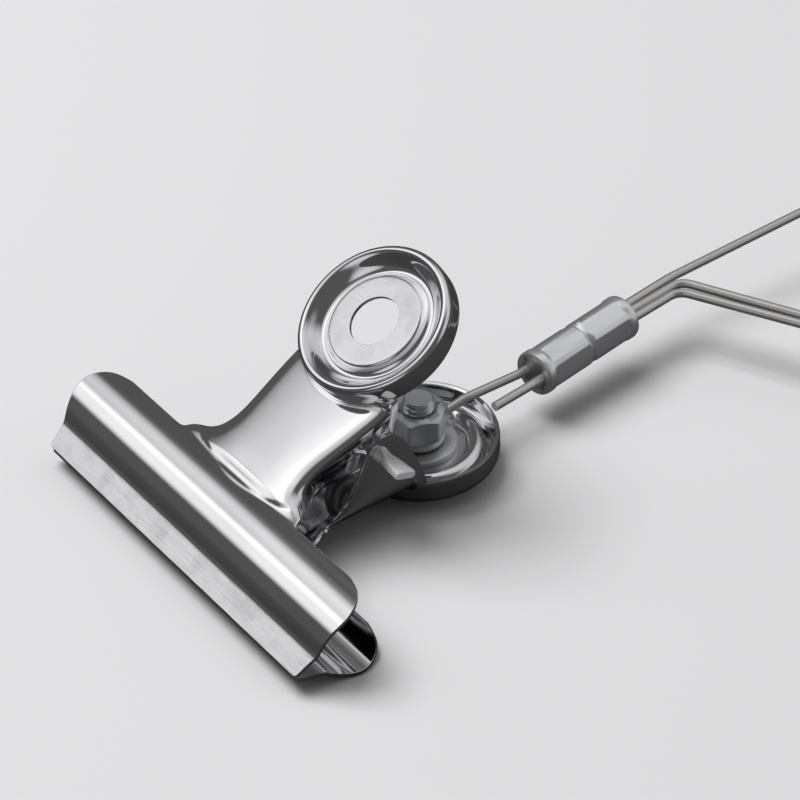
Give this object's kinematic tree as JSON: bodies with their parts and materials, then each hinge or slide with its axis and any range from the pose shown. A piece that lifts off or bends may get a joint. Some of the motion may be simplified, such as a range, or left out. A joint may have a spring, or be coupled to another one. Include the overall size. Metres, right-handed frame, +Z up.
{
  "type": "round-handled spring clip",
  "caption": "Sheet-steel spring clip with round pierced handles, a sprung pivot pin, and a triangular wire bail bolted to one handle and closed by a crimped sleeve.",
  "frame": {"origin": "centre of the footprint, on the table that the clip lies on", "axes": "+X along the jaws, to the side where the bail's triangle lies; +Y from the lips towards the handles and the bail; +Z up"},
  "size_m": [0.0721, 0.1475, 0.0382],
  "materials": {
    "plated_steel": "polished nickel-plated sheet steel",
    "pin_steel": "rough, sheared and flattened",
    "spring_steel": "drawn wire",
    "zinc_plate": "bright zinc plate",
    "wire_steel": "bright drawn wire",
    "tinned_sleeve": "satin, crimped"
  },
  "bodies": {
    "lower_clip": {"lower_jaw": "plated_steel", "pivot_pin": "pin_steel", "torsion_spring": "spring_steel", "bolt": "zinc_plate", "nut": "zinc_plate", "inner_washer": "zinc_plate", "outer_washer": "zinc_plate"},
    "upper_clip": {"upper_jaw": "plated_steel"},
    "bail": {"bail_wire": "wire_steel", "tie_wire": "wire_steel", "crimp_sleeve": "tinned_sleeve"}
  },
  "joints": [
    {"name": "jaw_hinge", "type": "hinge", "parent": "lower_clip", "child": "upper_clip", "pos_m": [-0.00235, -0.04189, 0.01365], "axis": [-1, 0, 0], "range_deg": [0, 40], "stiffness_Nm_per_rad": 0.25, "springref_deg": -57.3, "deforming": ["torsion_spring"]},
    {"name": "bail_swivel", "type": "hinge", "parent": "lower_clip", "child": "bail", "pos_m": [-0.00235, -0.02792, 0.00617], "axis": [0, -0.0535, 0.9986], "range_deg": [-80, 80]}
  ]
}
